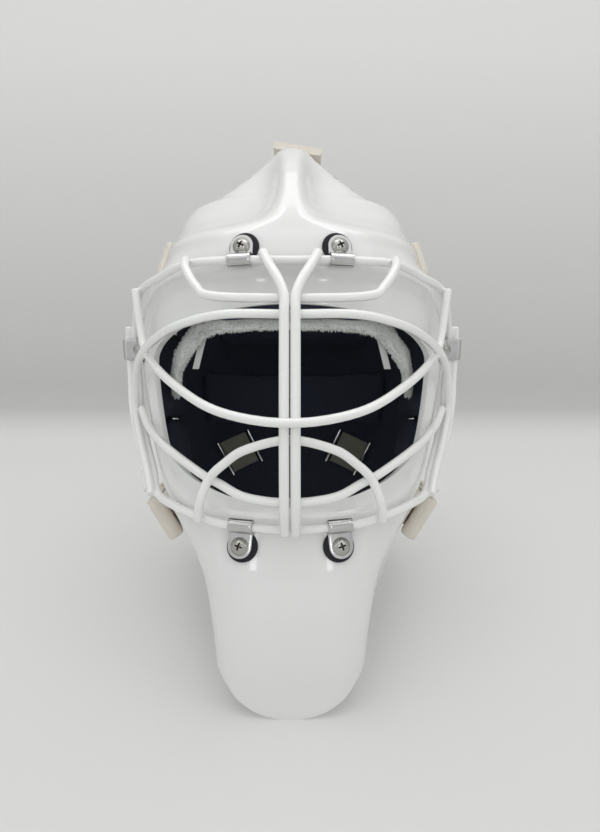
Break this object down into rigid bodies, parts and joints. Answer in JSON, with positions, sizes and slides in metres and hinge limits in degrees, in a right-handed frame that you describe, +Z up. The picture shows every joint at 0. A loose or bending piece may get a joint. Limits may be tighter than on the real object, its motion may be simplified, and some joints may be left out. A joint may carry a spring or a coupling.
{
  "type": "hockey goalie mask",
  "caption": "Hockey goalie mask with a moulded shell, welded wire cage on hooked clips, foam lining, chin cup and a strapped back plate that swings.",
  "frame": {"origin": "on the floor under the middle of the standing mask's bounding box", "axes": "+X to the viewer's right, +Y from the cage to the back plate, +Z up"},
  "size_m": [0.2538, 0.3172, 0.3578],
  "materials": {
    "shell_white": "gloss white paint over a moulded fibre shell",
    "plate_white": "gloss white outside, dark inside",
    "cage_white": "thick white paint on steel wire",
    "clip_steel": "polished stainless steel strip",
    "screw_steel": "bright plated steel",
    "rivet_steel": "bright plated steel",
    "rod_steel": "bright steel rod",
    "washer_rubber": "black moulded rubber",
    "lining_foam": "dark navy cloth over foam",
    "terry_grey": "grey terry cloth",
    "tab_white": "white woven tab",
    "tape_olive": "grey olive webbing",
    "webbing_cream": "cream webbing",
    "cup_black": "black moulded plastic"
  },
  "bodies": {
    "mask": {"shell": "shell_white", "cage_rim": "cage_white", "cage_eye_loop": "cage_white", "cage_smile_bar": "cage_white", "cage_lower_bar": "cage_white", "cage_arch_bar": "cage_white", "cage_brow_bar": "cage_white", "cage_centre_left": "cage_white", "cage_centre_right": "cage_white", "cage_brace_left": "cage_white", "cage_brace_right": "cage_white", "clip_top_left": "clip_steel", "clip_top_right": "clip_steel", "clip_bottom_left": "clip_steel", "clip_bottom_right": "clip_steel", "clip_side_left": "clip_steel", "clip_side_right": "clip_steel", "clip_washers": "washer_rubber", "clip_screws": "screw_steel", "clip_nuts": "clip_steel", "forehead_pad": "lining_foam", "sweatband": "terry_grey", "sweatband_tabs": "tab_white", "temple_pad_left": "lining_foam", "temple_pad_right": "lining_foam", "cheek_pad_left": "lining_foam", "cheek_pad_right": "lining_foam", "jaw_pad_left": "lining_foam", "jaw_pad_right": "lining_foam", "crown_pad_left": "lining_foam", "crown_pad_right": "lining_foam", "chin_cup": "cup_black", "chin_strap_left": "webbing_cream", "chin_strap_right": "webbing_cream", "chin_snaps": "rivet_steel", "top_strap": "webbing_cream", "ridge_rivet": "rivet_steel", "upper_strap_left": "webbing_cream", "upper_strap_right": "webbing_cream", "lower_strap_left": "webbing_cream", "lower_strap_right": "webbing_cream"},
    "back_plate": {"back_plate": "plate_white", "back_pad_upper": "lining_foam", "back_pad_lower": "lining_foam", "keeper_left": "tape_olive", "keeper_right": "tape_olive", "strap_slides": "rod_steel", "plate_rivets": "rivet_steel"}
  },
  "joints": [
    {"name": "back_plate_swing", "type": "hinge", "parent": "mask", "child": "back_plate", "pos_m": [0, 0.1117, 0.334], "axis": [1, 0, 0], "range_deg": [0, 12], "stiffness_Nm_per_rad": 1.5, "deforming": ["top_strap", "upper_strap_left", "upper_strap_right", "lower_strap_left", "lower_strap_right"]}
  ]
}
